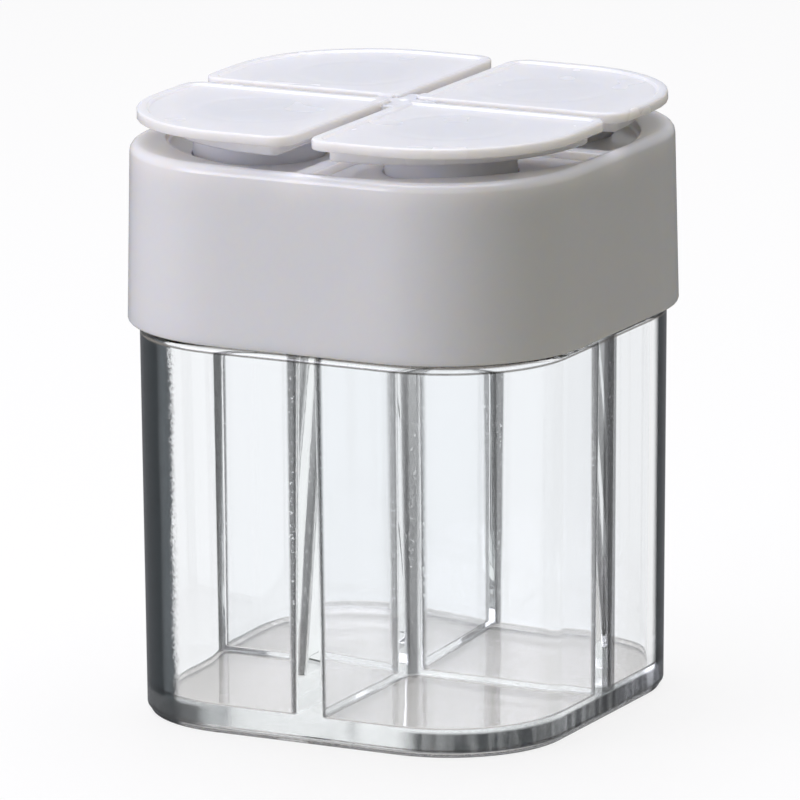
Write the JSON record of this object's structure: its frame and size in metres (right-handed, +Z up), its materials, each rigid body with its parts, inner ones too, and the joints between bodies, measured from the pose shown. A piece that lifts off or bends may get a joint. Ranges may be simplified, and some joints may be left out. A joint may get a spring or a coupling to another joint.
{
  "type": "spice dispenser",
  "caption": "Square clear spice jar divided into separate chambers, with a white slip-on shaker cap and flip-up flaps that meet at a hub.",
  "frame": {"origin": "middle of the base, on the surface that the jar stands on", "axes": "+Z up; X and Y along the jar's sides, with -Y the front"},
  "size_m": [0.065, 0.065, 0.0815],
  "materials": {
    "clear_plastic": "clear polished moulding",
    "white_cap": "glossy white moulding",
    "white_flap": "glossy white moulding"
  },
  "bodies": {
    "jar": {"jar_body": "clear_plastic"},
    "cap": {"shaker_cap": "white_cap", "flap_hub": "white_flap"},
    "flap_back_right": {"flap_back_right": "white_flap"},
    "flap_back_left": {"flap_back_left": "white_flap"},
    "flap_front_left": {"flap_front_left": "white_flap"},
    "flap_front_right": {"flap_front_right": "white_flap"}
  },
  "joints": [
    {"name": "cap_lift", "type": "slide", "parent": "jar", "child": "cap", "axis": [0, 0, 1], "range_m": [0, 0.05]},
    {"name": "flap_back_right_hinge", "type": "hinge", "parent": "cap", "child": "flap_back_right", "pos_m": [0.00115, 0.0031, 0.08115], "axis": [0, -1, 0], "range_deg": [0, 90]},
    {"name": "flap_back_left_hinge", "type": "hinge", "parent": "cap", "child": "flap_back_left", "pos_m": [-0.0031, 0.00115, 0.08115], "axis": [1, 0, 0], "range_deg": [0, 90]},
    {"name": "flap_front_left_hinge", "type": "hinge", "parent": "cap", "child": "flap_front_left", "pos_m": [-0.00115, -0.0031, 0.08115], "axis": [0, 1, 0], "range_deg": [0, 90]},
    {"name": "flap_front_right_hinge", "type": "hinge", "parent": "cap", "child": "flap_front_right", "pos_m": [0.0031, -0.00115, 0.08115], "axis": [-1, 0, 0], "range_deg": [0, 90]}
  ]
}
